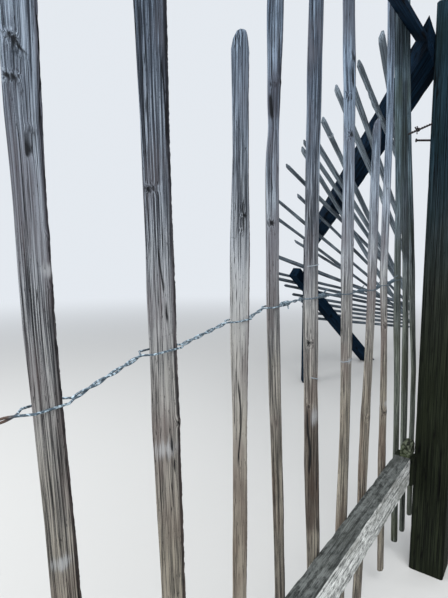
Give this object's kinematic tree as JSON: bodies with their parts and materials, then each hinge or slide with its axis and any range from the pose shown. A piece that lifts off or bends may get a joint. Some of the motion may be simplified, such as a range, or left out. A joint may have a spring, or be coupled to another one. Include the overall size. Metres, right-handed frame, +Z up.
{
  "type": "cleft paling fence with a fanned fallen wing",
  "caption": "Weathered split-wood paling fence: upright pales wired along rails between posts, with a collapsed wing whose pales fan out over a sloping rail.",
  "frame": {"origin": "middle of the corner post's foot, on the ground", "axes": "+Z up, +X along the standing bay from the near post to the corner post, +Y to the side the pales hang on"},
  "size_m": [6.67, 1.8631, 2.2213],
  "materials": {
    "dark_post": "dark weathered sawn timber, damp and green towards the foot",
    "checked_rail": "grey sawn rail with lichen mottling and long drying checks",
    "shaded_timber": "dark weathered timber",
    "mossy_stub": "rotting timber with moss on its top",
    "standing_pale": "silver-grey split chestnut with open grain",
    "slipped_pale": "silver-grey split chestnut, darker in the shade",
    "galvanised_wire": "dull galvanised twisted wire, rusty in places"
  },
  "bodies": {
    "root": {"bottom_rail": "checked_rail", "corner_post": "dark_post", "fallen_post": "shaded_timber", "fan_pale_01": "slipped_pale", "fan_pale_02": "slipped_pale", "fan_pale_03": "slipped_pale", "fan_pale_04": "slipped_pale", "fan_pale_05": "slipped_pale", "fan_pale_06": "slipped_pale", "fan_pale_07": "slipped_pale", "fan_pale_08": "slipped_pale", "fan_pale_09": "slipped_pale", "fan_pale_10": "slipped_pale", "fan_pale_11": "slipped_pale", "fan_pale_12": "slipped_pale", "fan_pale_13": "slipped_pale", "fan_pale_14": "slipped_pale", "fan_pale_15": "slipped_pale", "fan_pale_16": "slipped_pale", "fan_pale_17": "slipped_pale", "fan_pale_18": "slipped_pale", "fan_pale_19": "slipped_pale", "fan_pale_20": "slipped_pale", "fan_pale_21": "slipped_pale", "fan_pale_22": "slipped_pale", "near_pale_01": "standing_pale", "near_pale_02": "standing_pale", "near_pale_03": "standing_pale", "near_pale_04": "standing_pale", "near_pale_05": "standing_pale", "near_pale_06": "standing_pale", "near_pale_07": "standing_pale", "near_pale_08": "standing_pale", "near_pale_09": "standing_pale", "near_pale_10": "standing_pale", "near_pale_11": "standing_pale", "near_pale_12": "standing_pale", "near_pale_13": "standing_pale", "near_pale_14": "standing_pale", "near_post": "dark_post", "rail_stub": "mossy_stub", "sloping_rail": "shaded_timber", "stub_post": "dark_post", "top_rail": "shaded_timber", "wing_prop": "shaded_timber", "wire_row": "galvanised_wire"}
  },
  "joints": []
}
